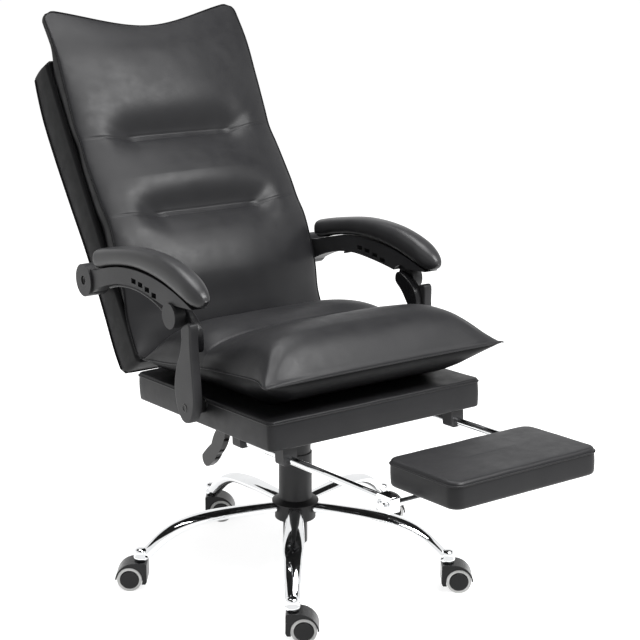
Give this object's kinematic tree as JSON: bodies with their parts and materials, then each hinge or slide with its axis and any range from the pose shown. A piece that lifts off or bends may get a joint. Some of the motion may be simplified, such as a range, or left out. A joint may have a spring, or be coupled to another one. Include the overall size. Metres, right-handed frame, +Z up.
{
  "type": "reclining office chair with footrest",
  "caption": "High-back reclining office chair on a castered star base, with linked armrests, pillow-top cushions and a pull-out flip-over footrest.",
  "frame": {"origin": "on the floor, on the axis of the column", "axes": "+Z up; the sitter faces -Y, so the footrest is on -Y and the back leans to +Y; +X is the sitter's left"},
  "size_m": [0.7275, 1.3821, 1.1034],
  "materials": {
    "black_leatherette": "satin",
    "black_plastic": "matte",
    "black_gloss_plastic": "gloss",
    "chromed_steel": "polished",
    "white_tyre": "satin",
    "black_painted_steel": "satin",
    "zinc_steel": "satin",
    "plywood": "matte",
    "nylon": "matte"
  },
  "bodies": {
    "base": {"hub": "black_plastic", "leg_1": "chromed_steel", "leg_2": "chromed_steel", "leg_3": "chromed_steel", "leg_4": "chromed_steel", "leg_5": "chromed_steel", "gas_outer_tube": "black_painted_steel", "guide_bush": "nylon", "thrust_bearing": "zinc_steel", "cover_lower": "black_plastic"},
    "swivel": {"piston_rod": "zinc_steel"},
    "cover": {"cover_middle": "black_plastic"},
    "seat": {"gas_inner_tube": "chromed_steel", "cover_upper": "black_plastic", "mechanism_tray": "black_painted_steel", "seat_panel": "plywood", "seat_box": "black_leatherette", "seat_pillow": "black_leatherette", "seat_bolts": "zinc_steel", "rail_guides": "black_plastic", "hinge_feet": "black_painted_steel"},
    "release": {"release_pin": "zinc_steel"},
    "lever": {"lever_rod": "black_painted_steel", "lever_grip": "black_gloss_plastic"},
    "back": {"back_brackets": "black_painted_steel", "hinge_pins": "zinc_steel", "back_shell": "black_leatherette", "back_cushion": "black_leatherette", "arm_bolts": "zinc_steel"},
    "footrest_frame": {"footrest_rails": "chromed_steel", "footrest_brackets": "chromed_steel", "footrest_crossbar": "chromed_steel"},
    "footrest": {"footrest_pad": "black_leatherette", "footrest_hinge_arms": "chromed_steel"},
    "caster_1": {"caster_1_hood": "black_plastic", "caster_1_pins": "zinc_steel"},
    "wheels_1": {"caster_1_wheels": "black_plastic", "caster_1_tyres": "white_tyre"},
    "caster_2": {"caster_2_hood": "black_plastic", "caster_2_pins": "zinc_steel"},
    "wheels_2": {"caster_2_wheels": "black_plastic", "caster_2_tyres": "white_tyre"},
    "caster_3": {"caster_3_hood": "black_plastic", "caster_3_pins": "zinc_steel"},
    "wheels_3": {"caster_3_wheels": "black_plastic", "caster_3_tyres": "white_tyre"},
    "caster_4": {"caster_4_hood": "black_plastic", "caster_4_pins": "zinc_steel"},
    "wheels_4": {"caster_4_wheels": "black_plastic", "caster_4_tyres": "white_tyre"},
    "caster_5": {"caster_5_hood": "black_plastic", "caster_5_pins": "zinc_steel"},
    "wheels_5": {"caster_5_wheels": "black_plastic", "caster_5_tyres": "white_tyre"},
    "arm_left": {"arm_rail_left": "black_plastic", "arm_pad_left": "black_leatherette"},
    "strut_left": {"strut_left": "black_plastic"},
    "arm_right": {"arm_rail_right": "black_plastic", "arm_pad_right": "black_leatherette"},
    "strut_right": {"strut_right": "black_plastic"}
  },
  "joints": [
    {"name": "caster_1_swivel", "type": "hinge", "parent": "base", "child": "caster_1", "pos_m": [-0.18455, -0.26752, 0.062], "axis": [0, 0, 1], "continuous": true},
    {"name": "caster_1_roll", "type": "hinge", "parent": "caster_1", "child": "wheels_1", "pos_m": [-0.16644, -0.28001, 0.025], "axis": [0.5678, 0.8231, 0], "continuous": true},
    {"name": "caster_2_swivel", "type": "hinge", "parent": "base", "child": "caster_2", "pos_m": [0.1974, -0.25818, 0.062], "axis": [0, 0, 1], "continuous": true},
    {"name": "caster_2_roll", "type": "hinge", "parent": "caster_2", "child": "wheels_2", "pos_m": [0.21551, -0.27068, 0.025], "axis": [0.5678, 0.8231, 0], "continuous": true},
    {"name": "caster_3_swivel", "type": "hinge", "parent": "base", "child": "caster_3", "pos_m": [0.30655, 0.10795, 0.062], "axis": [0, 0, 1], "continuous": true},
    {"name": "caster_3_roll", "type": "hinge", "parent": "caster_3", "child": "wheels_3", "pos_m": [0.32466, 0.09546, 0.025], "axis": [0.5678, 0.8231, 0], "continuous": true},
    {"name": "caster_4_swivel", "type": "hinge", "parent": "base", "child": "caster_4", "pos_m": [-0.00794, 0.3249, 0.062], "axis": [0, 0, 1], "continuous": true},
    {"name": "caster_4_roll", "type": "hinge", "parent": "caster_4", "child": "wheels_4", "pos_m": [0.01017, 0.31241, 0.025], "axis": [0.5678, 0.8231, 0], "continuous": true},
    {"name": "caster_5_swivel", "type": "hinge", "parent": "base", "child": "caster_5", "pos_m": [-0.31145, 0.09285, 0.062], "axis": [0, 0, 1], "continuous": true},
    {"name": "caster_5_roll", "type": "hinge", "parent": "caster_5", "child": "wheels_5", "pos_m": [-0.32956, 0.10534, 0.025], "axis": [-0.5678, -0.8231, 0], "continuous": true},
    {"name": "seat_swivel", "type": "hinge", "parent": "base", "child": "swivel", "pos_m": [0, 0, 0.062], "axis": [0, 0, 1], "continuous": true},
    {"name": "seat_lift", "type": "slide", "parent": "swivel", "child": "seat", "axis": [0, 0, 1], "range_m": [-0.05, 0.035]},
    {"name": "cover_slide", "type": "slide", "parent": "base", "child": "cover", "axis": [0, 0, 1], "range_m": [-0.025, 0.0175]},
    {"name": "lever_lift", "type": "hinge", "parent": "seat", "child": "lever", "pos_m": [-0.0445, 0, 0.3574], "axis": [0, 1, 0], "range_deg": [0, 5], "stiffness_Nm_per_rad": 2, "springref_deg": -5.73},
    {"name": "release_press", "type": "slide", "parent": "seat", "child": "release", "axis": [0, 0, -1], "range_m": [0, 0.0046]},
    {"name": "recline", "type": "hinge", "parent": "seat", "child": "back", "pos_m": [0, 0.306, 0.413], "axis": [-1, 0, 0], "range_deg": [-18, 14]},
    {"name": "arm_left_level", "type": "hinge", "parent": "back", "child": "arm_left", "pos_m": [0.2725, 0.34997, 0.58427], "axis": [-1, 0, 0], "range_deg": [-14, 18]},
    {"name": "strut_left_swing", "type": "hinge", "parent": "seat", "child": "strut_left", "pos_m": [0.2725, -0.052, 0.417], "axis": [-1, 0, 0], "range_deg": [-18, 14]},
    {"name": "arm_right_level", "type": "hinge", "parent": "back", "child": "arm_right", "pos_m": [-0.2725, 0.34997, 0.58427], "axis": [-1, 0, 0], "range_deg": [-14, 18]},
    {"name": "strut_right_swing", "type": "hinge", "parent": "seat", "child": "strut_right", "pos_m": [-0.2725, -0.052, 0.417], "axis": [-1, 0, 0], "range_deg": [-18, 14]},
    {"name": "footrest_slide", "type": "slide", "parent": "seat", "child": "footrest_frame", "axis": [0, -0.9978, 0.067], "range_m": [-0.2, 0]},
    {"name": "footrest_flip", "type": "hinge", "parent": "footrest_frame", "child": "footrest", "pos_m": [0, -0.57293, 0.37538], "axis": [1, 0, 0], "range_deg": [0, 180]}
  ],
  "couplings": [
    {"joint": "cover_slide", "follows": "seat_lift", "ratio": 0.5},
    {"joint": "release_press", "follows": "lever_lift", "m_per_rad": 0.0505},
    {"joint": "arm_left_level", "follows": "recline", "ratio": -1},
    {"joint": "strut_left_swing", "follows": "recline", "ratio": 1},
    {"joint": "arm_right_level", "follows": "recline", "ratio": -1},
    {"joint": "strut_right_swing", "follows": "recline", "ratio": 1}
  ]
}
